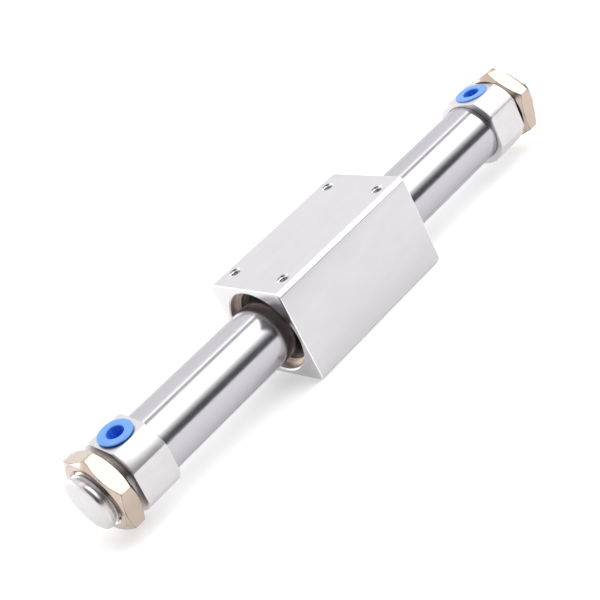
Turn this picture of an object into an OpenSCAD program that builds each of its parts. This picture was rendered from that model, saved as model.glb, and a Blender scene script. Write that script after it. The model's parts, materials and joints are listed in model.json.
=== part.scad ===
// Magnetically coupled rodless pneumatic cylinder, basic type, 20 mm bore and 100 mm stroke.
// A piston with ring magnets runs inside a closed stainless tube. Ring magnets in the slider
// block outside hold on to it through the wall, so the block follows the piston along the tube.
// Millimetres. X runs along the tube, Z points up through the ports and the block's top face,
// and the origin is the middle of the tube's axis, half way between the two end bosses.

/* [Cylinder] */
// Inner diameter of the tube, which is the bore size
bore_d = 20; // [19:0.5:21]
// Wall of the tube
tube_wall = 1.4; // [1:0.1:1.6]
// Travel of the slider block from end to end
stroke = 100; // [50:5:300]
// Gap left between the block and a head cover at the end of the stroke
end_gap = 5.5; // [4:0.5:10]
// Where the slider stands, counted from mid-stroke
slider_pos = 2; // [-20:1:20]

/* [Slider block] */
// Length of the block along the tube
block_len = 66; // [64:1:90]
// Width and height of the block
block_w = 36; // [36:1:44]
// Chamfer along the four long edges of the block
block_chamfer = 1.4; // [0.5:0.1:2]
// Break of the edges around the two end faces of the block
end_edge = 0.3; // [0.1:0.1:0.6]
// Wall left between the block's bore and its side faces
block_wall = 2; // [1.8:0.1:2.4]
// Chamfer at the two mouths of the block's bore
mouth_chamfer = 0.4; // [0.2:0.1:0.8]
// Pitch of the four tapped holes along the tube
hole_pitch_x = 50; // [40:1:52]
// Pitch of the four tapped holes across the tube
hole_pitch_y = 25; // [25:0.5:27]
// Tapping diameter of the holes for M4 screws
hole_d = 3.3; // [2.5:0.1:3.4]
// Metal left between the tapped holes and the block's bore
hole_floor = 0.25; // [0.2:0.05:1]
// Diameter of the countersinks at the holes' mouths
countersink_d = 4.4; // [4:0.1:5]

/* [Slider ends] */
// Depth of the retaining rings below the block's end faces
ring_depth = 4.2; // [2:0.1:5]
// Thickness of the retaining rings
ring_t = 1.2; // [1:0.1:1.5]
// Radial gap between the tube and the retaining rings
ring_clear = 3.2; // [1.8:0.1:3.4]
// Depth of the retaining rings' grooves in the block's bore
ring_groove = 0.8; // [0.5:0.1:1]
// Angle of each retaining ring's gap around the tube
ring_gap_angle = 315; // [0:5:355]
// Length of each scraper
scraper_len = 2.2; // [1.5:0.1:3]
// Radial thickness of each scraper
scraper_t = 2.1; // [1.5:0.1:2.5]
// Thickness of a scraper's lip
scraper_lip = 0.5; // [0.3:0.1:0.7]
// Radial thickness of each slider wear ring
slide_ring_t = 1.4; // [1:0.1:2]
// Width of the lands beside the slider wear rings
plate_land = 0.8; // [0.5:0.1:1]
// Radial gap between the tube and the end plates
plate_gap = 0.6; // [0.4:0.1:0.8]
// Half the angle of a retaining ring's gap
ring_gap = 7; // [5:0.5:10]
// Half the angle that a retaining ring's two lugs and its gap span
ring_lugs = 21; // [18:0.5:24]
// Diameter of the plier holes in the retaining rings' lugs
ring_hole_d = 1.6; // [1.2:0.1:1.8]

/* [Magnets] */
// Number of magnets in each stack, with one yoke more than magnets
magnets = 4; // [2:1:4]
// Length of one magnet
magnet_len = 6; // [4:0.5:6.5]
// Length of one yoke
yoke_len = 3.5; // [2.5:0.5:4]
// Radial gap between the tube and the outer magnets and yokes
outer_gap = 0.5; // [0.4:0.1:0.8]
// Radial gap between the tube and the inner yokes
inner_gap = 0.5; // [0.4:0.1:0.8]
// How far the inner magnets stand in from the inner yokes
magnet_step = 0.2; // [0.1:0.1:0.4]

/* [Piston] */
// Diameter of the piston shaft through the magnets
shaft_d = 6; // [5.5:0.5:7]
// Diameter of the shaft's threaded ends
shaft_end_d = 5; // [4:0.5:5]
// Radial gap between the tube and the piston heads
piston_gap = 0.4; // [0.35:0.05:0.6]
// Width of the lands on each side of the piston's grooves
piston_land = 0.8; // [0.6:0.1:1.2]
// Width of a piston wear ring
piston_ring_w = 2.5; // [2:0.1:3]
// Radial thickness of a piston wear ring
piston_ring_t = 1.2; // [0.8:0.1:1.5]
// Width of a piston seal
piston_seal_w = 1.8; // [1.5:0.1:2.5]
// Radial thickness of a piston seal
piston_seal_t = 2; // [1.5:0.1:2.5]
// Length of a bumper
bumper_len = 3; // [2.8:0.1:4]
// Outer diameter of a bumper
bumper_d = 16.4; // [15:0.1:17]
// Width across flats of a piston nut
piston_nut_af = 8; // [7:0.5:8]
// Height of a piston nut
piston_nut_h = 2.7; // [2:0.1:2.7]
// Radial space between a piston nut's corners and its bumper
nut_space = 0.5; // [0.3:0.1:0.8]

/* [Head covers] */
// Outer diameter of the head covers
head_d = 28; // [28:0.5:32]
// Length of a head cover between its two end faces
head_len = 14.5; // [14:0.5:20]
// Height of the side flats and the port face above the axis
flat_h = 12.5; // [12.3:0.1:13]
// Chamfer around the head covers' two end faces
head_edge = 0.4; // [0.2:0.1:0.8]
// Depth of the ring-shaped socket that takes the tube's end
socket_depth = 2.5; // [1.5:0.1:3]
// Diameter of the threaded mounting boss, M20
boss_d = 20; // [18:0.5:20]
// Length of the mounting boss
boss_len = 13; // [11:0.5:20]
// Round at the boss's free end
boss_edge = 1.5; // [0.3:0.1:1.8]
// Width of the tube gasket's groove
gasket_w = 2; // [1.5:0.1:2.5]
// Depth of the tube gasket's groove
gasket_t = 1.2; // [1:0.1:1.5]
// Share of its groove's width that a tube gasket fills
gasket_fill = 0.8; // [0.7:0.05:0.95]
// Diameter of a seal's round section before it is flattened, over its larger side
seal_round = 1.15; // [1.05:0.05:1.3]
// How far the left head cover is turned about the tube
left_turn = 7.5; // [-10:0.5:10]

/* [Ports] */
// Distance of a port from the head cover's outer face
port_inset = 7; // [6.5:0.1:8]
// Diameter of the port's hole, tapped 1/8 inch taper
port_d = 8.6; // [8:0.1:9]
// Diameter of the air passage from the port to the tube
passage_d = 8; // [6:0.5:9]
// Diameter of a port plug's flange
plug_flange_d = 12.2; // [11:0.1:12.4]
// Thickness of a port plug's flange
plug_flange_t = 0.5; // [0.5:0.1:1.5]
// Gap left under the left plug's flange, which isn't pushed right in
left_plug_gap = 0.5; // [0:0.1:1]
// Gap left under the right plug's flange
right_plug_gap = 0; // [0:0.1:1]
// Round at the rim of a port plug's flange
plug_rim = 0.4; // [0.2:0.1:0.6]
// Length of a port plug's stem below its flange
plug_stem = 6; // [4:0.5:8]
// Diameter of the recess in a port plug
plug_recess_d = 6; // [5:0.1:6.5]
// Thickness of a port plug's floor
plug_floor = 1; // [0.8:0.1:2]

/* [Mounting nuts] */
// Width across flats of a mounting nut
nut_af = 27; // [26:0.5:30]
// Height of a mounting nut
nut_h = 7; // [6:0.5:8]
// Gap between the left nut and its head cover
left_nut_gap = 2; // [0.2:0.1:3]
// Gap between the right nut and its head cover
right_nut_gap = 0.8; // [0.2:0.1:3]
// Turn of the left nut about the tube
left_nut_turn = 17; // [0:1:59]
// Turn of the right nut about the tube
right_nut_turn = 8; // [0:1:59]
// Diameter of a mounting nut's flat faces, as a share of its width across flats
nut_face = 0.95; // [0.9:0.01:0.98]
// Countersink at the two ends of a mounting nut's thread
nut_sink = 0.8; // [0.4:0.1:1.2]

/* [Fits] */
// Radial clearance of a ring that slides on or in the tube
slide_fit = 0.04; // [0.02:0.01:0.08]
// Radial clearance of a pressed, screwed or pushed-in piece
seat_fit = 0.02; // [0.01:0.01:0.04]
// Radial clearance of a mounting nut on its boss and of a plug in its port
turn_fit = 0.05; // [0.03:0.01:0.09]
// Space left at each end of the stroke between a bumper and its head cover
stop_clear = 0.25; // [0.1:0.05:0.5]
// Chamfer that breaks the edges of the small turned pieces
small_edge = 0.3; // [0.1:0.1:0.4]

/* [Hidden] */
$fn = 72;
eps = 0.01;

SIDES = ["left", "right"];
OWN = ["cylinder_tube", "slider_block", "piston_shaft"];
PAIRED = ["head_cover", "tube_gasket", "mounting_nut", "port_plug", "retaining_ring", "end_plate",
    "slider_wear_ring", "scraper", "piston", "piston_wear_ring", "piston_seal", "bumper",
    "piston_nut"];

// Radii, from the axis outwards
tube_in = bore_d / 2;
tube_out = tube_in + tube_wall;
block_in = block_w / 2 - block_wall;
ring_in = tube_out + ring_clear;
boss_r = boss_d / 2;
head_r = head_d / 2;

// The tapped holes are blind, and stop just above the bore
hole_depth = block_w / 2 - hole_floor
    - sqrt(pow(block_in, 2) - pow((hole_pitch_y - hole_d) / 2, 2));

// Places along the tube, for the right-hand end; the left-hand end mirrors them
head_in = stroke / 2 + end_gap + block_len / 2;
head_face = head_in + head_len;
boss_end = head_face + boss_len;
port_x = head_face - port_inset;

// The magnet stacks and the pieces beside them, counted from the slider's middle
pitch = magnet_len + yoke_len;
stack_half = (magnets * pitch + yoke_len) / 2;
plate_out = block_len / 2 - ring_depth - ring_t;
plate_lip = plate_out - scraper_len;
piston_len = 3 * piston_land + piston_ring_w + piston_seal_w;
piston_out = stack_half + piston_len;
piston_half = piston_out + bumper_len;
spigot_end = stroke / 2 + piston_half + stop_clear;
gasket_x = (spigot_end + head_in) / 2;

// Turns a piece drawn along +Z so that it lies along +X
module along_x() {
    rotate([0, 90, 0]) children();
}

// A ring or disc on the tube's axis from x0 to x1, with chamfered outer edges
module ring_x(r_in, r_out, x0, x1, edge = 0) {
    along_x() rotate_extrude()
        polygon([
            [r_in, x0], [r_out - edge, x0], [r_out, x0 + edge],
            [r_out, x1 - edge], [r_out - edge, x1], [r_in, x1]
        ]);
}

// A plain cylinder on the tube's axis from x0 to x1
module rod_x(r, x0, x1) {
    translate([x0, 0, 0]) along_x() cylinder(r = r, h = x1 - x0);
}

// A cone on the tube's axis from radius r0 at x0 to radius r1 at x1
module cone_x(r0, r1, x0, x1) {
    translate([x0, 0, 0]) along_x() cylinder(r1 = r0, r2 = r1, h = x1 - x0);
}

// A seal ring with a rounded section, flattened where it bears on its groove and its wall
module seal_x(r_in, r_out, x, w) {
    along_x() rotate_extrude()
        translate([(r_in + r_out) / 2, x])
            intersection() {
                circle(d = max(w, r_out - r_in) * seal_round, $fn = 36);
                square([r_out - r_in, w], center = true);
            }
}

// Puts a right-hand end piece at either end of the cylinder
module at_end(side) {
    if (side == "left") rotate([left_turn, 0, 0]) mirror([1, 0, 0]) children();
    else children();
}

// Puts a right-hand slider or piston piece at either side of the slider's middle
module at_slider(side = "right") {
    translate([slider_pos, 0, 0]) mirror([side == "left" ? 1 : 0, 0, 0]) children();
}

// ---- Cylinder ----

module cylinder_tube() {
    end = head_in + socket_depth;
    color("gainsboro") ring_x(tube_in, tube_out, -end, end, small_edge);
}

// Head cover with its port, threaded boss and the spigot that carries the tube gasket
module head_cover(side) {
    color("lightgray") at_end(side) difference() {
        union() {
            head_body();
            boss();
            rod_x(tube_in - seat_fit, spigot_end, head_in + socket_depth + eps);
        }
        // socket for the tube's end
        ring_x(tube_in - seat_fit, tube_out + seat_fit, head_in - eps, head_in + socket_depth);
        // groove for the tube gasket
        ring_x(tube_in - gasket_t, tube_in + eps, gasket_x - gasket_w / 2,
            gasket_x + gasket_w / 2);
        // air passage and port
        rod_x(passage_d / 2, spigot_end - eps, port_x);
        translate([port_x, 0, 0]) cylinder(d = port_d, h = head_r + eps);
    }
}

module head_body() {
    intersection() {
        ring_x(0, head_r, head_in, head_face, head_edge);
        translate([head_in - eps, -flat_h, -head_r])
            cube([head_len + 2 * eps, 2 * flat_h, head_r + flat_h]);
    }
}

// The free end of the boss is rounded
module boss() {
    along_x() rotate_extrude() {
        translate([0, head_face - eps]) square([boss_r, boss_len - boss_edge + eps]);
        translate([0, head_face]) square([boss_r - boss_edge, boss_len]);
        translate([boss_r - boss_edge, boss_end - boss_edge]) circle(r = boss_edge, $fn = 32);
    }
}

module tube_gasket(side) {
    color("black") at_end(side)
        seal_x(tube_in - gasket_t, tube_in, gasket_x, gasket_w * gasket_fill);
}

// Hexagon nut, chamfered at 30 degrees on both faces
module mounting_nut(side) {
    gap = side == "left" ? left_nut_gap : right_nut_gap;
    turn = side == "left" ? left_nut_turn : right_nut_turn;
    x0 = head_face + gap;
    corner = nut_af / sqrt(3);
    face_r = nut_af * nut_face / 2;
    drop = (corner - face_r) * tan(30);
    bore_r = boss_r + turn_fit;
    color("tan") rotate([turn, 0, 0]) mirror([side == "left" ? 1 : 0, 0, 0]) difference() {
        intersection() {
            translate([x0, 0, 0]) along_x() cylinder(r = corner, h = nut_h, $fn = 6);
            along_x() rotate_extrude()
                polygon([
                    [0, x0], [face_r, x0], [corner, x0 + drop],
                    [corner, x0 + nut_h - drop], [face_r, x0 + nut_h], [0, x0 + nut_h]
                ]);
        }
        rod_x(bore_r, x0 - eps, x0 + nut_h + eps);
        cone_x(bore_r + nut_sink, bore_r, x0, x0 + nut_sink);
        cone_x(bore_r, bore_r + nut_sink, x0 + nut_h - nut_sink, x0 + nut_h);
    }
}

// Push-in plug that closes a port: a flange, a hollow stem and a floor
module port_plug(side) {
    stem_r = port_d / 2 - turn_fit;
    flange_r = plug_flange_d / 2;
    gap = side == "left" ? left_plug_gap : right_plug_gap;
    rim = min(plug_rim, plug_flange_t);
    color("dodgerblue") at_end(side) translate([port_x, 0, flat_h + gap]) difference() {
        union() {
            rotate_extrude() {
                square([flange_r - rim, plug_flange_t]);
                square([flange_r, plug_flange_t - rim]);
                intersection() {
                    translate([flange_r - rim, plug_flange_t - rim]) circle(r = rim, $fn = 24);
                    square([flange_r, plug_flange_t]);
                }
            }
            translate([0, 0, -plug_stem]) cylinder(r = stem_r, h = plug_stem + eps);
        }
        translate([0, 0, plug_floor - plug_stem])
            cylinder(d = plug_recess_d, h = plug_stem + plug_flange_t);
    }
}

// ---- Slider ----

// The 2D outline of a bar with its corners cut off
module chamfered_square(a, b, c) {
    polygon([
        [-a / 2 + c, -b / 2], [a / 2 - c, -b / 2], [a / 2, -b / 2 + c], [a / 2, b / 2 - c],
        [a / 2 - c, b / 2], [-a / 2 + c, b / 2], [-a / 2, b / 2 - c], [-a / 2, -b / 2 + c]
    ]);
}

module slider_block() {
    half = block_len / 2;
    sink_depth = (countersink_d - hole_d) / 2;
    color("gainsboro") at_slider() difference() {
        intersection() {
            translate([-half, 0, 0]) along_x()
                linear_extrude(height = block_len) chamfered_square(block_w, block_w, block_chamfer);
            translate([0, 0, -block_w / 2])
                linear_extrude(height = block_w) chamfered_square(block_len, block_w, end_edge);
            translate([0, block_w / 2, 0]) rotate([90, 0, 0])
                linear_extrude(height = block_w) chamfered_square(block_len, block_w, end_edge);
        }
        rod_x(block_in, -half - eps, half + eps);
        for (m = [0, 1]) mirror([m, 0, 0]) {
            cone_x(block_in, block_in + mouth_chamfer, half - mouth_chamfer, half);
            rod_x(block_in + ring_groove, plate_out, plate_out + ring_t);
        }
        for (x = [-1, 1], y = [-1, 1])
            translate([x * hole_pitch_x / 2, y * hole_pitch_y / 2, block_w / 2]) {
                translate([0, 0, -hole_depth]) cylinder(d = hole_d, h = hole_depth + eps);
                translate([0, 0, -sink_depth])
                    cylinder(d1 = hole_d, d2 = countersink_d, h = sink_depth + eps);
            }
    }
}

// Internal retaining ring with a gap and two lugs with plier holes
module retaining_ring(side) {
    outer = block_in + ring_groove - 2 * seat_fit;
    lug_in = tube_out + plate_gap;
    color("rosybrown") at_slider(side) rotate([ring_gap_angle, 0, 0])
        translate([plate_out, 0, 0]) rotate([90, 0, 90]) linear_extrude(height = ring_t)
            difference() {
                circle(r = outer);
                difference() {
                    circle(r = ring_in);
                    sector(ring_lugs);
                }
                circle(r = lug_in);
                sector(ring_gap);
                for (s = [-1, 1]) rotate(s * (ring_gap + ring_lugs) / 2)
                    translate([(lug_in + block_in) / 2, 0]) circle(d = ring_hole_d, $fn = 24);
            }
}

// A wedge of the plane, half_angle degrees to each side of +X
module sector(half_angle) {
    polygon([[0, 0], [block_w, -block_w * tan(half_angle)], [block_w, block_w * tan(half_angle)]]);
}

// Ring that closes the block's bore and holds the scraper and the wear ring
module end_plate(side) {
    color("dimgray") at_slider(side) difference() {
        ring_x(tube_out + plate_gap, block_in - seat_fit, stack_half, plate_out, small_edge);
        ring_x(tube_out, tube_out + scraper_t, plate_lip, plate_out + eps);
        ring_x(tube_out, tube_out + slide_ring_t, stack_half + plate_land,
            plate_lip - plate_land);
    }
}

module slider_wear_ring(side) {
    color("wheat") at_slider(side)
        ring_x(tube_out + slide_fit, tube_out + slide_ring_t - seat_fit,
            stack_half + plate_land + seat_fit, plate_lip - plate_land - seat_fit);
}

// Rubber scraper with a lip that leans outwards against the tube
module scraper(side) {
    x0 = plate_lip + seat_fit;
    r0 = tube_out + slide_fit;
    r1 = tube_out + scraper_t - seat_fit;
    color("black") at_slider(side) along_x() rotate_extrude()
        polygon([
            [r0 + scraper_lip, x0], [r1, x0], [r1, plate_out],
            [r0 + 2 * scraper_lip, plate_out], [r0 + scraper_lip, plate_out - scraper_lip],
            [r0, plate_out], [r0, plate_out - scraper_lip]
        ]);
}

module outer_magnet(i) {
    x0 = -stack_half + yoke_len + (i - 1) * pitch;
    color("slategray") at_slider()
        ring_x(tube_out + outer_gap, block_in - seat_fit, x0, x0 + magnet_len, small_edge);
}

module outer_yoke(i) {
    x0 = -stack_half + (i - 1) * pitch;
    color("darkgray") at_slider()
        ring_x(tube_out + outer_gap, block_in - seat_fit, x0, x0 + yoke_len);
}

// ---- Piston ----

module piston_shaft() {
    end = piston_out + piston_nut_h;
    color("silver") at_slider() union() {
        ring_x(0, shaft_d / 2, -stack_half, stack_half);
        ring_x(0, shaft_end_d / 2, -end, end, small_edge);
    }
}

module inner_magnet(i) {
    x0 = -stack_half + yoke_len + (i - 1) * pitch;
    color("slategray") at_slider()
        ring_x(shaft_d / 2 + seat_fit, tube_in - inner_gap - magnet_step, x0, x0 + magnet_len,
            small_edge);
}

module inner_yoke(i) {
    x0 = -stack_half + (i - 1) * pitch;
    color("darkgray") at_slider()
        ring_x(shaft_d / 2 + seat_fit, tube_in - inner_gap, x0, x0 + yoke_len);
}

// Piston head with grooves for its wear ring and its seal
module piston(side) {
    ring_x0 = stack_half + piston_land;
    seal_x0 = ring_x0 + piston_ring_w + piston_land;
    color("lightsteelblue") at_slider(side) difference() {
        ring_x(shaft_end_d / 2 + seat_fit, tube_in - piston_gap, stack_half, piston_out,
            small_edge);
        ring_x(tube_in - piston_ring_t, tube_in, ring_x0, ring_x0 + piston_ring_w);
        ring_x(tube_in - piston_seal_t, tube_in, seal_x0, seal_x0 + piston_seal_w);
    }
}

module piston_wear_ring(side) {
    x0 = stack_half + piston_land;
    color("wheat") at_slider(side)
        ring_x(tube_in - piston_ring_t + seat_fit, tube_in - slide_fit, x0 + seat_fit,
            x0 + piston_ring_w - seat_fit);
}

module piston_seal(side) {
    x = piston_out - piston_land - piston_seal_w / 2;
    color("black") at_slider(side)
        seal_x(tube_in - piston_seal_t, tube_in - slide_fit, x, piston_seal_w - 2 * seat_fit);
}

module bumper(side) {
    color("olive") at_slider(side)
        ring_x(piston_nut_af / sqrt(3) + nut_space, bumper_d / 2, piston_out, piston_half,
            small_edge);
}

module piston_nut(side) {
    color("silver") at_slider(side) difference() {
        translate([piston_out, 0, 0]) along_x()
            cylinder(r = piston_nut_af / sqrt(3), h = piston_nut_h, $fn = 6);
        rod_x(shaft_end_d / 2 + seat_fit, piston_out - eps, piston_out + piston_nut_h + eps);
    }
}

cylinder_tube();
slider_block();
piston_shaft();
for (s = SIDES) {
    head_cover(s);
    tube_gasket(s);
    mounting_nut(s);
    port_plug(s);
    retaining_ring(s);
    end_plate(s);
    slider_wear_ring(s);
    scraper(s);
    piston(s);
    piston_wear_ring(s);
    piston_seal(s);
    bumper(s);
    piston_nut(s);
}
for (i = [1 : magnets]) {
    outer_magnet(i);
    inner_magnet(i);
}
for (i = [1 : magnets + 1]) {
    outer_yoke(i);
    inner_yoke(i);
}
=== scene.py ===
"""Looks of the rodless pneumatic cylinder: detailed pieces, finishes, studio light and camera.

Everything is in metres, in the shared frame: X along the tube's axis, Z up, and the floor under
the slider block. A right-hand end piece is drawn at +X. The left-hand one is the same piece turned
half round Z, and then about the tube by an angle of its own.
"""

import json
import math

import bmesh
import bpy
from mathutils import Matrix, Vector


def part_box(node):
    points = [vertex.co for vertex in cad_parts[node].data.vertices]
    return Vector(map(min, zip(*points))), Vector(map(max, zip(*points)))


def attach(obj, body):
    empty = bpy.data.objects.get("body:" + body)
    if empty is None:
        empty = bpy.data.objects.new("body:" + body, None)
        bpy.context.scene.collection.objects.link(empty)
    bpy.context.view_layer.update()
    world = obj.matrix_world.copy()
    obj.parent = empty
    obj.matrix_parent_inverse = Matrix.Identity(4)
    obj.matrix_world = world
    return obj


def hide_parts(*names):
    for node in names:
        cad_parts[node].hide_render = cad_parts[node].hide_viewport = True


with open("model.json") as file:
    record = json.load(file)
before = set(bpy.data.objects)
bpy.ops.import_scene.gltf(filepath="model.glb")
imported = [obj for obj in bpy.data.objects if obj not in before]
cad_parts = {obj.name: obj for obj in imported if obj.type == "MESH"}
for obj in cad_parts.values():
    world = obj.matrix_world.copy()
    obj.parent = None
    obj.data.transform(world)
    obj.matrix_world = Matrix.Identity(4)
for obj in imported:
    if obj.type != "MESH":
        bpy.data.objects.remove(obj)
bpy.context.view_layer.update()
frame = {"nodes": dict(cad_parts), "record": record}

MM = 0.001

# ---- Sizes, from the frame where it has them ----

_, TUBE_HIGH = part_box("cylinder_tube")
BLOCK_LOW, BLOCK_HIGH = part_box("slider_block")
HEAD_LOW, HEAD_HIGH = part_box("right_head_cover")
RING_LOW, RING_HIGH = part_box("right_retaining_ring")
GASKET_LOW, GASKET_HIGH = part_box("right_tube_gasket")
PLUG_LOW, PLUG_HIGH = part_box("right_port_plug")

TUBE_R = TUBE_HIGH.y
TUBE_WALL = 1.4 * MM
# A seated piece's radial clearance, and the slack when a face is told by its place
FIT = 0.02 * MM
# The radial play of a nut on its boss's thread and of a plug's stem in its port
PLAY = 0.05 * MM

BLOCK_MID = (BLOCK_LOW + BLOCK_HIGH) / 2
BLOCK_HALF = (BLOCK_HIGH - BLOCK_LOW) / 2
# The block's wall beside its bore, at its thinnest
BLOCK_WALL = 2 * MM
BLOCK_BORE_R = BLOCK_HALF.y - BLOCK_WALL
BLOCK_CHAMFER = 1.4 * MM
BLOCK_EDGE = 0.25 * MM
MOUTH_CHAMFER = 0.4 * MM
# How far out from the bore's wall a face of the bore can lie
BORE_REACH = 1.2 * MM
HOLE_SPACING = Vector((50, 25)) * MM
HOLE_DEPTH = 6 * MM
M4_R = 2 * MM
M4_CORE_R = 1.65 * MM
M4_PITCH = 0.7 * MM
SINK_R = 2.25 * MM
# How far a cutter stands out of the face that it cuts, and how much larger than its hole it is
CUT_OVER = 1 * MM
CUT_SLACK = 0.01 * MM

BOSS_END = HEAD_HIGH.x
BOSS_LEN = 13 * MM
BOSS_R = 10 * MM
BOSS_ROUND = 1.5 * MM
BOSS_PITCH = 1.5 * MM
BOSS_THREAD = 0.85 * MM
# The boss's undercut beside the head cover: its length, and the length of its slope up
RELIEF_LEN, RELIEF_SLOPE = 1.2 * MM, 0.4 * MM
# How slowly the boss's thread comes in at the undercut and runs out at the free end
BOSS_FADE = (0.8 * MM, 1.3 * MM)
HEAD_LEN = 14.5 * MM
HEAD_FACE = BOSS_END - BOSS_LEN
HEAD_IN = HEAD_FACE - HEAD_LEN
HEAD_R = -HEAD_LOW.z
HEAD_FLAT = HEAD_HIGH.z
HEAD_CHAMFER = 0.4 * MM
GASKET_GROOVE = 1.2 * MM
SOCKET_CHAMFER = 0.2 * MM
# How far out from the tube an edge has to lie to be on the head cover's outside
HEAD_OUTSIDE = 0.5 * MM
# How far a head cover and its plug are turned about the tube
HEAD_TURN = {"left": math.radians(7.5), "right": 0}

PORT_X = (PLUG_LOW.x + PLUG_HIGH.x) / 2
PORT_R = 4.3 * MM
PORT_PITCH = 0.907 * MM
PORT_THREAD = 0.45 * MM
PORT_SINK_R = 4.9 * MM
PASSAGE_R = 4 * MM
PLUG_R = (PLUG_HIGH.x - PLUG_LOW.x) / 2
PLUG_FLANGE = PLUG_HIGH.z - HEAD_FLAT
PLUG_GAP = {"left": 0.5 * MM, "right": 0}
PLUG_STEM_R = PORT_R - PLAY
PLUG_RECESS_R = 3 * MM
PLUG_FLOOR = 1 * MM
# A plug's rounds at its flange's rim and at its recess's mouth, and its small chamfers
PLUG_RIM, PLUG_LIP = 0.4 * MM, 0.42 * MM
STEM_CHAMFER, FLANGE_CHAMFER = 0.3 * MM, 0.1 * MM
# The ribs in a plug's recess: how many, how high, and at which depths they begin and are full
RIBS, RIB_HEIGHT = 8, 0.28 * MM
RIBS_BEGIN, RIBS_FULL = 0.8 * MM, 1.1 * MM
# A rib stands where a wave round the recess is above the first, and is full after the second
RIB_WAVE, RIB_RISE = 0.55, 0.45

NUT_AF = 27 * MM
# The flat ring of a nut's face is 95 % as wide as the nut is across its flats
NUT_FACE_R = 0.475 * NUT_AF
NUT_BORE_R = BOSS_R + PLAY
NUT_THREAD = 0.6 * MM
NUT_SINK = 0.8 * MM
NUT_FADE = (0.5 * MM, 0.5 * MM)
NUT_CHAMFER_ANGLE = math.radians(30)
# How far out from its bore a nut's outside begins, and how narrow the faces of its edges are,
# which take the painted edge shade
NUT_OUTSIDE = 1.2 * MM
NUT_EDGE_WIDTH = 0.08 * MM
NUT_TURN = {"left": math.radians(17), "right": math.radians(8)}

EDGE_BREAK = 0.12 * MM
TAU = 2 * math.pi
HALF_TURN = math.pi
QUARTER = math.pi / 2
# Edges that turn by more degrees than this are kept sharp, on most pieces and on the plugs
SHARP, SHARP_PLUG = 28, 40

# A thread's section, as shares of its pitch: half its crest, half its root, and a flank
CREST_HALF, ROOT_HALF = 0.0625, 0.125
FLANK = 0.5 - CREST_HALF - ROOT_HALF

# Points nearer to each other than this are one point, while drawing and after a cut
MERGE, MERGE_CUT = 1e-6, 1e-7


# ---- Mesh helpers ----


def flatted(radius, flats, limit):
    """The (y, z) outline of a disc cut by flats, each an (angle, distance) pair.

    Each flat and each arc between two flats always has the same number of points, so that
    outlines of different radius can be joined one to one."""
    flat_steps, arc_steps = 6, 10
    halves = [min(math.acos(dist / radius), limit) if radius > dist else 0 for _, dist in flats]
    points = []
    for i, (angle, dist) in enumerate(flats):
        half = halves[i]
        following = (i + 1) % len(flats)
        arc_start = angle + half
        arc_end = flats[following][0] - halves[following] + (TAU if following == 0 else 0)
        corner = min(radius, dist / math.cos(half))
        for k in range(flat_steps):
            turn = half * (2 * k / flat_steps - 1)
            points.append((dist / math.cos(turn) if half else radius, angle + turn))
        for k in range(arc_steps):
            points.append((corner, arc_start + (arc_end - arc_start) * k / arc_steps))
    return [(r * math.cos(a), r * math.sin(a)) for r, a in points]


def angles_of(outline):
    """The angles of an outline's points, rising from the first one."""
    found = [math.atan2(z, y) for y, z in outline]
    return [found[0] + (a - found[0]) % TAU for a in found]


def circle_row(x, radius, angles):
    return [Vector((x, radius * math.cos(a), radius * math.sin(a))) for a in angles]


def outline_row(x, outline):
    return [Vector((x, y, z)) for y, z in outline]


def skin(bm, rows):
    """Joins rows of points, each closed on itself, with quads."""
    made = [[bm.verts.new(p) for p in row] for row in rows]
    count = len(rows[0])
    for low, high in zip(made, made[1:]):
        for j in range(count):
            k = (j + 1) % count
            bm.faces.new((low[j], low[k], high[k], high[j]))


def groove_share(along):
    """How deep a thread is, from 0 on its crest to 1 on its root, along its pitches."""
    from_crest = abs(along + 0.5 - math.floor(along + 0.5) - 0.5)
    return min(max((from_crest - CREST_HALF) / FLANK, 0), 1)


def thread(bm, x0, x1, angles, crest_r, depth, pitch, fade=(0, 0)):
    """A helical thread surface from x0 to x1, whose groove fades out over fade at its two ends.

    Each turn has four rows of points: the two edges of the crest and of the root. The rows go on
    for some turns beyond each end of the thread, and are drawn back to the end itself there."""
    phases = (-CREST_HALF, CREST_HALF, 0.5 - ROOT_HALF, 0.5 + ROOT_HALF)
    per_turn = len(phases)
    turns_before, extra_turns = 1.5, 3
    last = per_turn * (int((x1 - x0) / pitch) + extra_turns)
    grid = []
    for i in range(last + 1):
        turn, part = divmod(i, per_turn)
        row = []
        for a in angles:
            swept = (a - angles[0]) / TAU
            x = x0 + pitch * (turn - turns_before + phases[part] + swept)
            x = min(max(x, x0), x1)
            groove = groove_share((x - x0) / pitch - swept) * depth
            for size, distance in zip(fade, (x - x0, x1 - x)):
                if size:
                    groove *= min(max(distance / size, 0), 1)
            r = crest_r - groove
            row.append(bm.verts.new((x, r * math.cos(a), r * math.sin(a))))
        grid.append(row)
    count = len(angles)
    for i in range(last):
        for j in range(count - 1):
            bm.faces.new((grid[i][j], grid[i][j + 1], grid[i + 1][j + 1], grid[i + 1][j]))
        if i + per_turn < last:
            seam = grid[i + per_turn][0], grid[i + 1 + per_turn][0]
            bm.faces.new((grid[i][-1], *seam, grid[i + 1][-1]))


def thread_radius(x, x0, angle, angles, crest_r, depth, pitch):
    """The radius of an unfaded thread surface at one point."""
    along = (x - x0) / pitch - (angle - angles[0]) / TAU
    return crest_r - groove_share(along) * depth


def quarter_round(x_of, r_of, steps, angles):
    """Rows of a quarter of a round, at the x and radius that its turn gives."""
    turns = [QUARTER * k / steps for k in range(steps + 1)]
    return [circle_row(x_of(turn), r_of(turn), angles) for turn in turns]


def axis_row(x, angles):
    """A row that is drawn together on the axis and closes a piece there."""
    return [Vector((x, 0, 0))] * len(angles)


def from_axis(point):
    return math.hypot(point.y, point.z)


def stood_up(spot):
    """The move that stands a piece drawn along +X upright at a spot."""
    return Matrix.Translation(spot) @ Matrix.Rotation(-QUARTER, 4, "Y")


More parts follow.
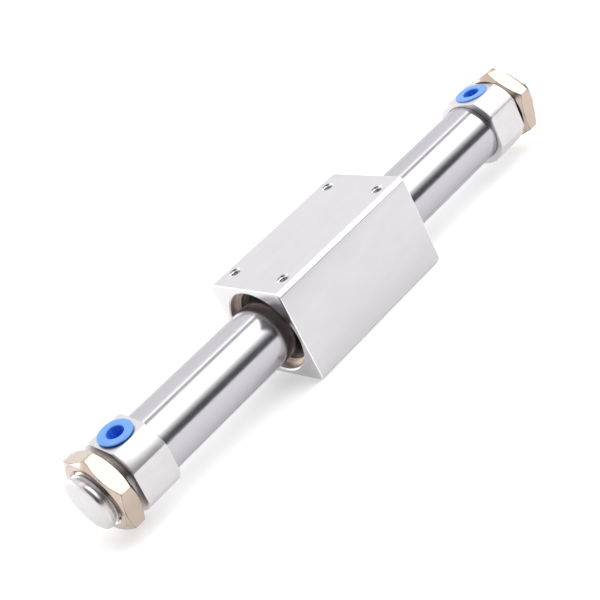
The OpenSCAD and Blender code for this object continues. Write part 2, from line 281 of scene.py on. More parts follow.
def close_up(bm):
    """Merges doubled points, drops empty faces and points all faces outwards."""
    bmesh.ops.remove_doubles(bm, verts=bm.verts, dist=MERGE)
    bmesh.ops.dissolve_degenerate(bm, edges=bm.edges, dist=MERGE)
    bmesh.ops.recalc_face_normals(bm, faces=bm.faces)


def bevel(bm, edges, width, segments=2):
    bmesh.ops.bevel(bm, geom=list(edges), offset=width, segments=segments, profile=0.5,
                    affect="EDGES", clamp_overlap=True)


def sharp_edges(bm, degrees):
    limit = math.radians(degrees)
    return [e for e in bm.edges if e.is_manifold and e.calc_face_angle(0) > limit]


def shade(bm, degrees):
    """Smooth faces, with the edges that turn by more than degrees kept sharp."""
    for face in bm.faces:
        face.smooth = True
    for edge in bm.edges:
        edge.smooth = edge.is_manifold and edge.calc_face_angle(0) < math.radians(degrees)


def new_object(name, bm):
    mesh = bpy.data.meshes.new(name)
    bm.to_mesh(mesh)
    bm.free()
    obj = bpy.data.objects.new(name, mesh)
    bpy.context.scene.collection.objects.link(obj)
    return obj


def cut(obj, cutters):
    """Cuts the cutters out of obj, and deletes them."""
    for cutter in cutters:
        step = obj.modifiers.new("cut", "BOOLEAN")
        step.operation = "DIFFERENCE"
        step.solver = "EXACT"
        step.object = cutter
    depsgraph = bpy.context.evaluated_depsgraph_get()
    result = bpy.data.meshes.new_from_object(obj.evaluated_get(depsgraph))
    obj.modifiers.clear()
    old, obj.data = obj.data, result
    bpy.data.meshes.remove(old)
    for cutter in cutters:
        bpy.data.objects.remove(cutter)


def reshade(obj, choose, degrees=SHARP):
    """Sets smooth and sharp on a finished mesh, and each face's material from choose(face)."""
    bm = bmesh.new()
    bm.from_mesh(obj.data)
    bmesh.ops.remove_doubles(bm, verts=bm.verts, dist=MERGE_CUT)
    shade(bm, degrees)
    for face in bm.faces:
        face.material_index = choose(face)
    bm.to_mesh(obj.data)
    bm.free()


def even_angles(count):
    return [TAU * k / count for k in range(count)]


# ---- Finishes ----


# Nearly all values of a noise texture lie between these
NOISE_LOW, NOISE_HIGH = 0.3, 0.7


class Finish:
    """A procedural material: one Principled shader and the textures that vary it."""

    def __init__(self, name, color, metallic, roughness):
        self.material = bpy.data.materials.new(name)
        self.material.use_nodes = True
        self.nodes = self.material.node_tree.nodes
        self.links = self.material.node_tree.links
        self.shader = self.nodes["Principled BSDF"]
        self.shader.inputs["Metallic"].default_value = metallic
        self.shader.inputs["Roughness"].default_value = roughness
        self.shader.inputs["Base Color"].default_value = (*color, 1)
        self.color = color
        self.roughness = roughness
        self.place = self.nodes.new("ShaderNodeTexCoord")

    def noise(self, scale, detail, stretch=(1, 1, 1)):
        """Noise in the object's own coordinates. stretch makes the grain longer along an axis."""
        mapping = self.nodes.new("ShaderNodeMapping")
        mapping.inputs["Scale"].default_value = [1 / s for s in stretch]
        self.links.new(self.place.outputs["Object"], mapping.inputs["Vector"])
        node = self.nodes.new("ShaderNodeTexNoise")
        node.inputs["Scale"].default_value = scale
        node.inputs["Detail"].default_value = detail
        self.links.new(mapping.outputs["Vector"], node.inputs["Vector"])
        return node.outputs["Fac"]

    def ranged(self, value, low, high):
        """Spreads a noise value out from low to high."""
        node = self.nodes.new("ShaderNodeMapRange")
        node.inputs["From Min"].default_value = NOISE_LOW
        node.inputs["From Max"].default_value = NOISE_HIGH
        node.inputs["To Min"].default_value = low
        node.inputs["To Max"].default_value = high
        self.links.new(value, node.inputs["Value"])
        return node.outputs["Result"]

    def vary_color(self, value, other):
        """The colour drifts between the finish's own and the other one."""
        node = self.nodes.new("ShaderNodeMix")
        node.data_type = "RGBA"
        node.inputs["A"].default_value = (*self.color, 1)
        node.inputs["B"].default_value = (*other, 1)
        self.links.new(self.ranged(value, 0, 1), node.inputs["Factor"])
        self.links.new(node.outputs["Result"], self.shader.inputs["Base Color"])
        return self

    def vary_roughness(self, value, spread):
        result = self.ranged(value, self.roughness - spread, self.roughness + spread)
        self.links.new(result, self.shader.inputs["Roughness"])
        return self

    def bump(self, value, depth):
        node = self.nodes.new("ShaderNodeBump")
        node.inputs["Strength"].default_value = 1.0
        node.inputs["Distance"].default_value = depth
        self.links.new(value, node.inputs["Height"])
        self.links.new(node.outputs["Normal"], self.shader.inputs["Normal"])
        return self


def tube_finish():
    """Ground and polished stainless steel, with fine marks round the tube."""
    finish = Finish("polished_stainless", (0.5, 0.487, 0.513), 1, 0.17)
    finish.shader.inputs["Specular Tint"].default_value = (0.8, 0.79, 0.81, 1)
    finish.vary_roughness(finish.noise(120, 2, (0.5, 1, 1)), 0.015)
    finish.vary_color(finish.noise(60, 3, (4, 1, 1)), (0.479, 0.467, 0.492))
    return finish.bump(finish.noise(4000, 2, (0.25, 1, 1)), 0.0000006)


def block_finish():
    """Clear anodised extruded aluminium, satin."""
    finish = Finish("anodised_satin", (0.62, 0.607, 0.626), 1, 0.36)
    finish.vary_roughness(finish.noise(220, 2, (3, 1, 1)), 0.025)
    finish.vary_color(finish.noise(300, 5, (3, 1, 1)), (0.598, 0.585, 0.604))
    return finish.bump(finish.noise(5000, 3, (1.6, 1, 1)), 0.000004)


def block_end_finish():
    """Milled and anodised aluminium on the block's two end faces."""
    finish = Finish("anodised_milled", (0.63, 0.617, 0.627), 1, 0.25)
    finish.vary_roughness(finish.noise(180, 2, (1, 3, 1)), 0.02)
    finish.vary_color(finish.noise(250, 4, (1, 3, 1)), (0.605, 0.592, 0.602))
    return finish.bump(finish.noise(2000, 2, (1, 1, 9)), 0.000005)


def edge_highlight_finish():
    """Bare aluminium along the bar's sawn ends and in the countersinks of its holes, brighter than
    bare metal as a painted highlight along these edges.
    """
    finish = Finish("bare_edge_and_highlight", (0.97, 0.96, 0.97), 1, 0.22)
    finish.vary_roughness(finish.noise(250, 2), 0.03)
    finish.vary_color(finish.noise(500, 2), (0.9, 0.89, 0.9))
    return finish.bump(finish.noise(1500, 2), 0.000001)


def bore_finish():
    """Turned aluminium of the block's bore, warm and softly lit from inside the mouth."""
    finish = Finish("turned_bore", (0.88, 0.8, 0.765), 0.72, 0.34)
    finish.vary_roughness(finish.noise(200, 2, (0.3, 1, 1)), 0.03)
    finish.vary_color(finish.noise(900, 3, (0.3, 4, 4)), (0.56, 0.51, 0.485))
    return finish.bump(finish.noise(700, 2, (0.3, 8, 8)), 0.00005)


def thread_shade_finish():
    """Fresh cut threads down in the block's holes, with painted shade: a colour darker than the
    block's.
    """
    finish = Finish("cut_thread_painted_shade", (0.5, 0.48, 0.5), 1, 0.3)
    finish.vary_roughness(finish.noise(300, 2), 0.03)
    finish.vary_color(finish.noise(800, 2), (0.42, 0.4, 0.42))
    return finish


def head_finish():
    """Machined and clear anodised aluminium of the head covers."""
    finish = Finish("head_aluminium", (0.64, 0.623, 0.635), 1, 0.35)
    finish.vary_roughness(finish.noise(200, 2, (0.5, 1, 1)), 0.02)
    finish.vary_color(finish.noise(300, 3), (0.61, 0.593, 0.605))
    return finish.bump(finish.noise(1500, 2, (0.5, 1, 1)), 0.0000012)


def boss_finish():
    """Turned and threaded aluminium of the mounting bosses, glossier than the head covers."""
    finish = Finish("turned_boss", (0.58, 0.562, 0.566), 1, 0.29)
    finish.vary_roughness(finish.noise(220, 2), 0.02)
    finish.vary_color(finish.noise(300, 3), (0.555, 0.538, 0.541))
    return finish.bump(finish.noise(1200, 2, (4, 1, 1)), 0.000001)


def nut_finish():
    """Nickel plate, warm and glossy."""
    finish = Finish("nickel_plate", (0.51, 0.417, 0.358), 1, 0.17)
    finish.vary_roughness(finish.noise(180, 2), 0.03)
    finish.vary_color(finish.noise(150, 4), (0.465, 0.38, 0.327))
    return finish.bump(finish.noise(2500, 3), 0.000004)


def nut_edge_shade_finish():
    """Painted shade along the nuts' broken edges: a dark, dull colour on their narrow bevel faces.
    """
    finish = Finish("dull_edge_painted_shade", (0.14, 0.11, 0.09), 1, 0.4)
    finish.vary_roughness(finish.noise(250, 2), 0.03)
    finish.vary_color(finish.noise(400, 3), (0.22, 0.17, 0.14))
    return finish


def plug_finish():
    """Soft moulded polyethylene, which lets a little light in."""
    finish = Finish("blue_polyethylene", (0.15, 0.365, 0.8), 0, 0.38)
    finish.shader.inputs["Subsurface Weight"].default_value = 0.35
    finish.shader.inputs["Subsurface Radius"].default_value = (0.2, 0.5, 1.0)
    finish.shader.inputs["Subsurface Scale"].default_value = 0.8 * MM
    finish.vary_roughness(finish.noise(250, 2), 0.03)
    finish.vary_color(finish.noise(260, 3), (0.118, 0.317, 0.77))
    return finish.bump(finish.noise(1800, 3), 0.00001)


def recess_shade_finish():
    """The same polyethylene down in a plug's recess, with painted shade: its colour is made deeper
    and darker there.
    """
    finish = Finish("blue_recess_painted_shade", (0.055, 0.25, 0.86), 0, 0.3)
    finish.vary_roughness(finish.noise(250, 2), 0.03)
    finish.vary_color(finish.noise(400, 2), (0.043, 0.19, 0.77))
    return finish.bump(finish.noise(1800, 2), 0.000004)


def ring_finish():
    """Phosphated spring steel of the retaining rings."""
    finish = Finish("spring_steel", (0.56, 0.46, 0.4), 1, 0.24)
    finish.vary_roughness(finish.noise(250, 2), 0.03)
    finish.vary_color(finish.noise(400, 3), (0.5, 0.41, 0.36))
    return finish.bump(finish.noise(3000, 3), 0.000005)


def plain_finish(name, color, other, metallic, roughness, grain, depth):
    """A finish that differs only in colour, gloss and grain, for the pieces inside."""
    finish = Finish(name, color, metallic, roughness)
    finish.vary_roughness(finish.noise(grain / 4, 2), roughness * 0.1)
    finish.vary_color(finish.noise(grain / 3, 3), other)
    return finish.bump(finish.noise(grain * 2, 3), depth)


FINISHES = {
    "tube_steel": tube_finish(),
    "block_aluminium": block_finish(),
    "block_end": block_end_finish(),
    "block_bore": bore_finish(),
    "block_thread_shade": thread_shade_finish(),
    "block_edge_highlight": edge_highlight_finish(),
    "head_aluminium": head_finish(),
    "boss": boss_finish(),
    "nut_nickel": nut_finish(),
    "nut_edge_shade": nut_edge_shade_finish(),
    "plug_blue": plug_finish(),
    "plug_recess_shade": recess_shade_finish(),
    "ring_steel": ring_finish(),
    "plate_black": plain_finish(
        "black_anodised", (0.035, 0.036, 0.042), (0.05, 0.05, 0.056), 0.4, 0.35, 1200, 0.000004),
    "wear_resin": plain_finish(
        "bearing_resin", (0.6, 0.46, 0.26), (0.52, 0.4, 0.22), 0, 0.5, 800, 0.000006),
    "rubber": plain_finish(
        "nitrile_rubber", (0.012, 0.012, 0.012), (0.02, 0.02, 0.02), 0, 0.62, 900, 0.00001),
    "magnet": plain_finish(
        "nickel_magnet", (0.42, 0.42, 0.44), (0.38, 0.38, 0.4), 1, 0.25, 700, 0.000002),
    "yoke_steel": plain_finish(
        "zinc_plated_steel", (0.52, 0.52, 0.53), (0.46, 0.47, 0.49), 1, 0.36, 900, 0.000004),
    "shaft_steel": plain_finish(
        "turned_stainless", (0.55, 0.55, 0.56), (0.5, 0.5, 0.51), 1, 0.24, 1000, 0.000002),
    "piston_aluminium": plain_finish(
        "machined_aluminium", (0.72, 0.73, 0.75), (0.68, 0.69, 0.71), 1, 0.3, 1000, 0.000003),
    "bumper_urethane": plain_finish(
        "urethane", (0.42, 0.38, 0.1), (0.36, 0.33, 0.09), 0, 0.45, 700, 0.000008),
}


def finish_node(node, slot):
    """Gives a CAD node its finish."""
    materials = frame["nodes"][node].data.materials
    materials.clear()
    materials.append(FINISHES[slot].material)


def finish_piece(piece, body, slot, *nodes):
    """Puts a detailed piece in the place of its CAD nodes."""
    piece.data.materials.clear()
    piece.data.materials.append(FINISHES[slot].material)
    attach(piece, body)
    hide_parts(*nodes)


def add_finishes(piece, names):
    """Gives a piece more finishes, which its faces take by number: 1 for the first, and so on."""
    for name in names:
        piece.data.materials.append(FINISHES[name].material)


# ---- Detailed pieces ----

TO_LEFT = Matrix.Rotation(HALF_TURN, 4, "Z")
# Points round a threaded hole, round the block's bore and round each rib of a plug
HOLE_STEPS, BORE_STEPS, RIB_STEPS = 40, 160, 12
# Steps of a boss's round, of a plug's rounds and of a nut's chamfer
BOSS_ROUND_STEPS, PLUG_ROUND_STEPS, NUT_CHAMFER_STEPS = 8, 6, 10
# Where a hole's countersink starts, as a share of the thread's depth
THREAD_CLEAR = 1.02
# How far an edge has to turn, in degrees, for its piece's bevel to take it
BLOCK_BEVEL, HEAD_BEVEL, NUT_BEVEL = 20, 15, 12


def place(obj, side, turn):
    """Moves a piece drawn at the right-hand end to its own side, turned about the tube."""
    half_turn = TO_LEFT if side == "left" else Matrix.Identity(4)
    obj.data.transform(Matrix.Rotation(turn, 4, "X") @ half_turn)


def tapped_cutter(name, core_r, major_r, pitch, depth, sink_r):
    """A cutter for a threaded hole along +X that ends in a countersink at x = 0."""
    bm = bmesh.new()
    angles = even_angles(HOLE_STEPS)
    thread_depth = major_r - core_r
    bottom, top = -depth, core_r - sink_r

    def thread_end(x):
        row = []
        for a in angles:
            r = thread_radius(x, bottom, a, angles, major_r, thread_depth, pitch)
            row.append(Vector((x, r * math.cos(a), r * math.sin(a))))
        return row

    thread(bm, bottom, top, angles, major_r, thread_depth, pitch)
    skin(bm, [axis_row(bottom, angles), thread_end(bottom)])
    skin(bm, [
        thread_end(top),
        circle_row(top + CUT_SLACK, core_r + thread_depth * THREAD_CLEAR, angles),
        circle_row(0, sink_r + CUT_SLACK, angles),
        circle_row(CUT_OVER, sink_r + CUT_OVER, angles),
        axis_row(CUT_OVER, angles),
    ])
    close_up(bm)
    return new_object(name, bm)


def block_body():
    """The square bar with its corner chamfers and its end edges broken."""
    bm = bmesh.new()
    bmesh.ops.create_cube(bm, size=1)
    for v in bm.verts:
        v.co = Vector(2 * c * h for c, h in zip(v.co, BLOCK_HALF))
    long_edges = [e for e in bm.edges if abs(e.verts[0].co.x - e.verts[1].co.x) > BLOCK_HALF.x]
    bevel(bm, long_edges, BLOCK_CHAMFER, 1)
    bevel(bm, sharp_edges(bm, BLOCK_BEVEL), BLOCK_EDGE)
    bmesh.ops.translate(bm, verts=bm.verts, vec=BLOCK_MID)
    return new_object("slider_block_body", bm)


def block_bore_cutter():
    """The block's bore, with its chamfered mouths and the two grooves for the retaining rings."""
    bm = bmesh.new()
    angles = even_angles(BORE_STEPS)
    groove_r = RING_HIGH.y + 2 * FIT
    half = BLOCK_HALF.x
    groove_in = RING_LOW.x - BLOCK_MID.x
    groove_out = RING_HIGH.x - BLOCK_MID.x
    mouth_r = BLOCK_BORE_R + MOUTH_CHAMFER
    side = [
        (groove_in, BLOCK_BORE_R), (groove_in, groove_r), (groove_out, groove_r),
        (groove_out, BLOCK_BORE_R), (half - MOUTH_CHAMFER, BLOCK_BORE_R),
        (half, mouth_r), (half + CUT_OVER, mouth_r + CUT_OVER),
    ]
    profile = [(-x, r) for x, r in reversed(side)] + side
    rows = [circle_row(BLOCK_MID.x + x, r, angles) for x, r in profile]
    skin(bm, [axis_row(rows[0][0].x, angles), *rows, axis_row(rows[-1][0].x, angles)])
    close_up(bm)
    return new_object("bore_cutter", bm)


def slider_block():
    """Block with rounded edges, a grooved bore and four threaded holes."""
    block = block_body()
    cutters = [block_bore_cutter()]
    for sx in (-0.5, 0.5):
        for sy in (-0.5, 0.5):
            cutter = tapped_cutter("hole_cutter", M4_CORE_R, M4_R, M4_PITCH, HOLE_DEPTH, SINK_R)
            x, y = BLOCK_MID.x + sx * HOLE_SPACING.x, BLOCK_MID.y + sy * HOLE_SPACING.y
            cutter.data.transform(stood_up((x, y, BLOCK_HIGH.z)))
            cutters.append(cutter)
    cut(block, cutters)
    own, end_face, bore, hole_thread_shade, edge = range(5)
    # How far the normals of the broken end edges and of the end faces lie along the tube
    slanted, squared, facing_end = 0.2, 0.98, 0.9

    def material_index(face):
        centre = face.calc_center_median() - BLOCK_MID
        along, across = abs(centre.x), abs(centre.y)
        facing = abs(face.normal.x)
        if from_axis(centre) < BLOCK_BORE_R + BORE_REACH and along < BLOCK_HALF.x - FIT:
            return bore
        from_hole = math.hypot(along - HOLE_SPACING.x / 2, across - HOLE_SPACING.y / 2)
        # Down in a hole, the thread takes the darker finish, which is painted shade
        if from_hole < SINK_R and BLOCK_BORE_R < centre.z < BLOCK_HALF.z - FIT:
            return hole_thread_shade if centre.z < BLOCK_HALF.z - SINK_R + M4_CORE_R else edge
        # The broken end edges take the bright finish, bare metal with a painted highlight
        if along > BLOCK_HALF.x - BLOCK_EDGE and slanted < facing < squared:
            return edge
        return end_face if facing > facing_end else own

    finish_piece(block, "slider", "block_aluminium", "slider_block")
    add_finishes(block, ("block_end", "block_bore", "block_thread_shade", "block_edge_highlight"))
    reshade(block, material_index)


def head_cover(side):
    """Head cover with its flats, socket and spigot, and a boss with an M20 x 1.5 thread."""
    flats = [(0, HEAD_FLAT), (QUARTER, HEAD_FLAT), (HALF_TURN, HEAD_FLAT)]
    limit = QUARTER / 2
    full = flatted(HEAD_R, flats, limit)
    rim = flatted(HEAD_R - HEAD_CHAMFER, flats, limit)
    angles = angles_of(full)
    socket_r = TUBE_R + FIT
    spigot_r = TUBE_R - TUBE_WALL - FIT
    groove_r = spigot_r - GASKET_GROOVE
    inner = [
        (PORT_X, 0), (PORT_X, PASSAGE_R), (HEAD_LOW.x, PASSAGE_R), (HEAD_LOW.x, spigot_r),
        (GASKET_LOW.x, spigot_r), (GASKET_LOW.x, groove_r), (GASKET_HIGH.x, groove_r),
        (GASKET_HIGH.x, spigot_r), (TUBE_HIGH.x, spigot_r), (TUBE_HIGH.x, socket_r),
        (HEAD_IN + SOCKET_CHAMFER, socket_r), (HEAD_IN, socket_r + SOCKET_CHAMFER),
    ]
    bm = bmesh.new()
    rows = [circle_row(x, r, angles) for x, r in inner]
    rows += [
        outline_row(HEAD_IN, rim), outline_row(HEAD_IN + HEAD_CHAMFER, full),
        outline_row(HEAD_FACE - HEAD_CHAMFER, full), outline_row(HEAD_FACE, rim),
    ]
    skin(bm, rows)
    thread_start, thread_end = HEAD_FACE + RELIEF_LEN + RELIEF_SLOPE, BOSS_END - BOSS_ROUND
    relief_r = BOSS_R - BOSS_THREAD
    skin(bm, [
        outline_row(HEAD_FACE, rim), circle_row(HEAD_FACE, relief_r, angles),
        circle_row(HEAD_FACE + RELIEF_LEN, relief_r, angles),
        circle_row(thread_start, BOSS_R, angles),
    ])
    thread(bm, thread_start, thread_end, angles, BOSS_R, BOSS_THREAD, BOSS_PITCH, BOSS_FADE)
    end_round = quarter_round(lambda turn: thread_end + BOSS_ROUND * math.sin(turn),
                              lambda turn: BOSS_R - BOSS_ROUND * (1 - math.cos(turn)),
                              BOSS_ROUND_STEPS, angles)
    skin(bm, [*end_round, axis_row(BOSS_END, angles)])
    close_up(bm)
    outside = [e for e in sharp_edges(bm, HEAD_BEVEL)
               if all(HEAD_IN - FIT < v.co.x < HEAD_FACE + FIT for v in e.verts)
               and all(from_axis(v.co) > TUBE_R + HEAD_OUTSIDE for v in e.verts)]
    bevel(bm, outside, EDGE_BREAK)
    head = new_object(f"{side}_head", bm)
    cutter = tapped_cutter(
        "port_cutter", PORT_R, PORT_R + PORT_THREAD, PORT_PITCH, HEAD_FLAT, PORT_SINK_R)
    cutter.data.transform(stood_up((PORT_X, 0, HEAD_FLAT)))
    cut(head, [cutter])
    place(head, side, HEAD_TURN[side])
    finish_piece(head, "barrel", "head_aluminium", f"{side}_head_cover")
    add_finishes(head, ("boss",))
    reshade(head, lambda face: 1 if abs(face.calc_center_median().x) > HEAD_FACE + FIT else 0)


def mounting_nut(side):
    """Hexagon nut with 30 degree chamfers on both faces and a threaded bore."""
    low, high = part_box(f"{side}_mounting_nut")
    x0, x1 = (low.x, high.x) if side == "right" else (-high.x, -low.x)
    flats = [(math.pi / 3 * k, NUT_AF / 2) for k in range(6)]
    limit = math.pi / 6
    corner = NUT_AF / 2 / math.cos(limit)
    rise = corner - NUT_FACE_R
    drop = rise * math.tan(NUT_CHAMFER_ANGLE)
    steps = NUT_CHAMFER_STEPS
    ramp = [(NUT_FACE_R + rise * k / steps, drop * k / steps) for k in range(steps + 1)]
    # Just outside the corners, all six flats surely have their full width
    outer = corner * 1.001
    angles = angles_of(flatted(outer, flats, limit))
    rows = [outline_row(x0 + dx, flatted(r, flats, limit)) for r, dx in ramp]
    rows += [outline_row(x1 - dx, flatted(r, flats, limit)) for r, dx in reversed(ramp)]
    bore_start, bore_end = x0 + NUT_SINK, x1 - NUT_SINK
    mouth_r = NUT_BORE_R + NUT_SINK
    bm = bmesh.new()
    skin(bm, [
        circle_row(bore_start, NUT_BORE_R, angles), circle_row(x0, mouth_r, angles),
        *rows,
        circle_row(x1, mouth_r, angles), circle_row(bore_end, NUT_BORE_R, angles),
    ])
    # The depth is below zero, as the groove goes outwards, into the nut
    thread(bm, bore_start, bore_end, angles, NUT_BORE_R, -NUT_THREAD, BOSS_PITCH, NUT_FADE)
    close_up(bm)
    outside_r = NUT_BORE_R + NUT_OUTSIDE
    outside = [e for e in sharp_edges(bm, NUT_BEVEL)
               if all(from_axis(v.co) > outside_r for v in e.verts)]
    bevel(bm, outside, EDGE_BREAK)
    nut = new_object(f"{side}_nut", bm)
    place(nut, side, NUT_TURN[side])
    finish_piece(nut, f"{side}_nut", "nut_nickel", f"{side}_mounting_nut")
    add_finishes(nut, ("nut_edge_shade",))

    # The narrow bevel faces on the outside take the second finish, the painted edge shade
    def material_index(face):
        width = face.calc_area() / max(edge.calc_length() for edge in face.edges)
        outside = from_axis(face.calc_center_median()) > outside_r
        return 1 if outside and width < NUT_EDGE_WIDTH else 0

    reshade(nut, material_index)


def port_plug(side):
    """Push-in plug: a flange with a rounded rim, a ribbed recess and a hollow stem."""
    angles = even_angles(RIBS * RIB_STEPS)
    stem_end = PLUG_LOW.z - HEAD_FLAT
    recess_floor = stem_end + PLUG_FLOOR

    def ribbed(x):
        row = []
        for a in angles:
            wave = math.cos(RIBS * a)
            r = PLUG_RECESS_R - RIB_HEIGHT * max(wave - RIB_WAVE, 0) / RIB_RISE
            row.append(Vector((x, r * math.cos(a), r * math.sin(a))))
        return row

    rim = quarter_round(lambda turn: PLUG_FLANGE - PLUG_RIM + PLUG_RIM * math.sin(turn),
                        lambda turn: PLUG_R - PLUG_RIM + PLUG_RIM * math.cos(turn),
                        PLUG_ROUND_STEPS, angles)
    lip = quarter_round(lambda turn: PLUG_FLANGE - PLUG_LIP * (1 - math.cos(turn)),
                        lambda turn: PLUG_RECESS_R + PLUG_LIP * (1 - math.sin(turn)),
                        PLUG_ROUND_STEPS, angles)
    bm = bmesh.new()
    skin(bm, [
        axis_row(stem_end, angles),
        circle_row(stem_end, PLUG_STEM_R - STEM_CHAMFER, angles),
        circle_row(stem_end + STEM_CHAMFER, PLUG_STEM_R, angles),
        circle_row(0, PLUG_STEM_R, angles),
        circle_row(0, PLUG_R - FLANGE_CHAMFER, angles),
        circle_row(FLANGE_CHAMFER, PLUG_R, angles),
        *rim,
        *lip,
        circle_row(PLUG_FLANGE - RIBS_BEGIN, PLUG_RECESS_R, angles),
        ribbed(PLUG_FLANGE - RIBS_FULL),
        ribbed(recess_floor),
        axis_row(recess_floor, angles),
    ])
    close_up(bm)
    plug = new_object(f"{side}_plug", bm)
    plug.data.transform(stood_up((PORT_X, 0, HEAD_FLAT + PLUG_GAP[side])))
    place(plug, side, HEAD_TURN[side])
    finish_piece(plug, f"{side}_plug", "plug_blue", f"{side}_port_plug")
    add_finishes(plug, ("plug_recess_shade",))
    up = Vector((0, -math.sin(HEAD_TURN[side]), math.cos(HEAD_TURN[side])))
    centre = Vector((-PORT_X if side == "left" else PORT_X, 0, 0))
    recess_top = HEAD_FLAT + PLUG_GAP[side] + PLUG_FLANGE - PLUG_LIP

    # Faces down in the recess take the second finish, the painted shade of the recess
    def material_index(face):
        offset = face.calc_center_median() - centre
        height = offset.dot(up)
        within = (offset - up * height).length < PLUG_RECESS_R + FIT
        in_depth = HEAD_FLAT + recess_floor - FIT < height < recess_top
        return 1 if within and in_depth else 0

    reshade(plug, material_index, SHARP_PLUG)


# ---- Stage ----


# Half the floor's size, and how far it reaches in front of the tube and to the left of its middle
FLOOR_HALF, FLOOR_FRONT, FLOOR_LEFT = 2.0, 0.27, 0.3
FLOOR_GLOW = 0.34


def floor():
    """A plain white sheet under the slider block, which glows a little of its own."""
    bm = bmesh.new()
    bmesh.ops.create_grid(bm, x_segments=1, y_segments=1, size=FLOOR_HALF)
    middle = (FLOOR_HALF - FLOOR_LEFT, FLOOR_HALF - FLOOR_FRONT, BLOCK_LOW.z)
    bmesh.ops.translate(bm, verts=bm.verts, vec=middle)
    sheet = new_object("floor", bm)
    finish = Finish("white_sheet", (0.85, 0.85, 0.85), 0, 0.9)
    finish.vary_color(finish.noise(3, 2), (0.84, 0.84, 0.84))
    finish.shader.inputs["Emission Color"].default_value = (1, 1, 1, 1)
    finish.shader.inputs["Emission Strength"].default_value = FLOOR_GLOW
    finish.shader.inputs["Specular IOR Level"].default_value = 0.1
    sheet.data.materials.append(finish.material)


# Brightness of the studio round the tube's axis: degrees from +Y, up through +Z, over to -Y and on
# under the front. A white wall with a thin lamp at its top stands behind, a long softbox hangs
# above the front, and the room in front is dark.
STUDIO = [
    (-90, 1.3), (10, 1.33), (20, 1.25), (62, 1.28), (73, 1.4), (75.5, 3.0), (78.5, 3.0),
    (80.5, 0.6), (90, 0.65), (97, 2.9), (136, 2.9), (148, 1.5), (158, 0.6), (166, 0.13),
    (187, 0.1), (200, 0.7), (270, 1.3),
]
# Where the photographer stands, the studio is dark: a direction, how near to it the shade begins
# and is full, and the share of the light that is left there
DARK_TOWARDS, DARK_FROM, DARK_TO, DARK = (-0.62, -0.54, 0.57), 0.62, 0.84, 0.09
# A lamp stands low behind the left-hand end: the same, with the light that it adds
LAMP_TOWARDS, LAMP_FROM, LAMP_TO, LAMP = (-0.38, 0.92, 0.05), 0.91, 0.96, 1.6


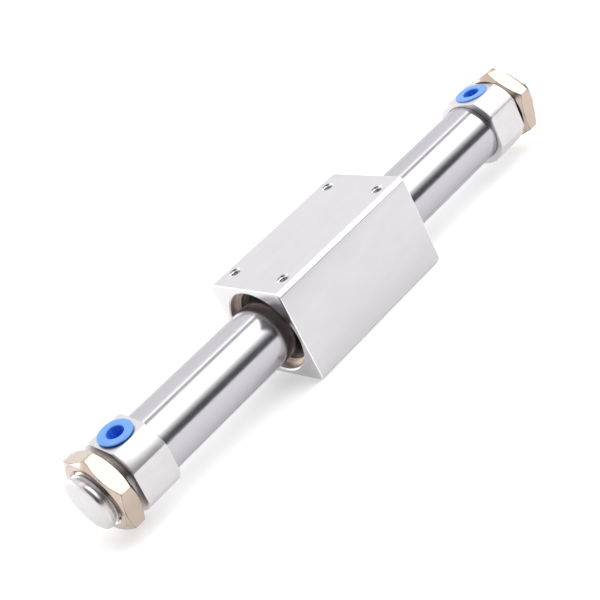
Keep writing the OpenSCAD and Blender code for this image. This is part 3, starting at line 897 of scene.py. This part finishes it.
def studio():
    """Lights the scene from bands round the tube's axis, a dark cone and a lamp.

    The camera sees plain white past the floor's edges."""
    world = bpy.data.worlds.new("studio")
    bpy.context.scene.world = world
    world.use_nodes = True
    nodes, links = world.node_tree.nodes, world.node_tree.links
    place_of = nodes.new("ShaderNodeTexCoord")
    split = nodes.new("ShaderNodeSeparateXYZ")
    links.new(place_of.outputs["Generated"], split.inputs["Vector"])
    front = nodes.new("ShaderNodeMath")
    front.operation = "MULTIPLY"
    links.new(split.outputs["Y"], front.inputs[0])
    front.inputs[1].default_value = -1
    angle = nodes.new("ShaderNodeMath")
    angle.operation = "ARCTAN2"
    links.new(front.outputs[0], angle.inputs[0])
    links.new(split.outputs["Z"], angle.inputs[1])
    share = nodes.new("ShaderNodeMath")
    share.operation = "MULTIPLY_ADD"
    links.new(angle.outputs[0], share.inputs[0])
    share.inputs[1].default_value = 1 / TAU
    share.inputs[2].default_value = 0.5
    ramp = nodes.new("ShaderNodeValToRGB")
    links.new(share.outputs[0], ramp.inputs["Fac"])
    brightest = max(level for _, level in STUDIO)
    stops = ramp.color_ramp.elements
    while len(stops) < len(STUDIO):
        stops.new(0.5)
    first = STUDIO[0][0]
    for stop, (degrees, level) in zip(stops, STUDIO):
        stop.position = (degrees - first) / 360
        stop.color = (level / brightest,) * 3 + (1,)

    def level_towards(direction, start, full, low, high):
        """A level that goes from low to high as a direction comes near to the given one."""
        towards = nodes.new("ShaderNodeVectorMath")
        towards.operation = "DOT_PRODUCT"
        links.new(place_of.outputs["Generated"], towards.inputs[0])
        towards.inputs[1].default_value = direction
        level = nodes.new("ShaderNodeMapRange")
        level.interpolation_type = "SMOOTHSTEP"
        level.inputs["From Min"].default_value = start
        level.inputs["From Max"].default_value = full
        level.inputs["To Min"].default_value = low
        level.inputs["To Max"].default_value = high
        links.new(towards.outputs["Value"], level.inputs["Value"])
        return level.outputs["Result"]

    strength = nodes.new("ShaderNodeMath")
    strength.operation = "ADD"
    dark = level_towards(DARK_TOWARDS, DARK_FROM, DARK_TO, brightest, DARK * brightest)
    lamp = level_towards(LAMP_TOWARDS, LAMP_FROM, LAMP_TO, 0, LAMP * brightest)
    links.new(dark, strength.inputs[0])
    links.new(lamp, strength.inputs[1])
    light = nodes.new("ShaderNodeBackground")
    links.new(ramp.outputs["Color"], light.inputs["Color"])
    links.new(strength.outputs[0], light.inputs["Strength"])
    plain = nodes.new("ShaderNodeBackground")
    plain.inputs["Color"].default_value = (1, 1, 1, 1)
    rays = nodes.new("ShaderNodeLightPath")
    mix = nodes.new("ShaderNodeMixShader")
    links.new(rays.outputs["Is Camera Ray"], mix.inputs["Fac"])
    links.new(light.outputs["Background"], mix.inputs[1])
    links.new(plain.outputs["Background"], mix.inputs[2])
    links.new(mix.outputs["Shader"], nodes["World Output"].inputs["Surface"])
    bpy.context.scene.view_settings.view_transform = "Standard"


# The photographer's lens and sensor width in mm, place, aim and lean, as solved from the photo
LENS, SENSOR_WIDTH = 83.59, 36
CAMERA_STANDS = Vector((-0.23816, -0.3538, 0.21789))
CAMERA_LOOKS_AT = Vector((-0.01323, 0, -0.00012))
CAMERA_LEAN = math.radians(-27.789)
CLIP_NEAR, CLIP_FAR = 0.01, 20


def camera():
    """Stands above the front of the left-hand end, and leans so that the tube runs slantwise."""
    data = bpy.data.cameras.new("camera")
    data.sensor_width = SENSOR_WIDTH
    data.lens = LENS
    data.clip_start, data.clip_end = CLIP_NEAR, CLIP_FAR
    cam = bpy.data.objects.new("camera", data)
    bpy.context.scene.collection.objects.link(cam)
    turn = (CAMERA_LOOKS_AT - CAMERA_STANDS).to_track_quat("-Z", "Y").to_matrix().to_4x4()
    lean = Matrix.Rotation(CAMERA_LEAN, 4, "Z")
    cam.matrix_world = Matrix.Translation(CAMERA_STANDS) @ turn @ lean
    bpy.context.scene.camera = cam


camera()
slider_block()
for end in ("left", "right"):
    head_cover(end)
    mounting_nut(end)
    port_plug(end)
DETAILED = {"slider_block"} | {f"{s}_{p}" for s in ("left", "right")
                               for p in ("head_cover", "mounting_nut", "port_plug")}
for part in frame["record"]["subparts"]:
    if part["node"] not in DETAILED:
        finish_node(part["node"], part["material_slot"])
floor()
studio()
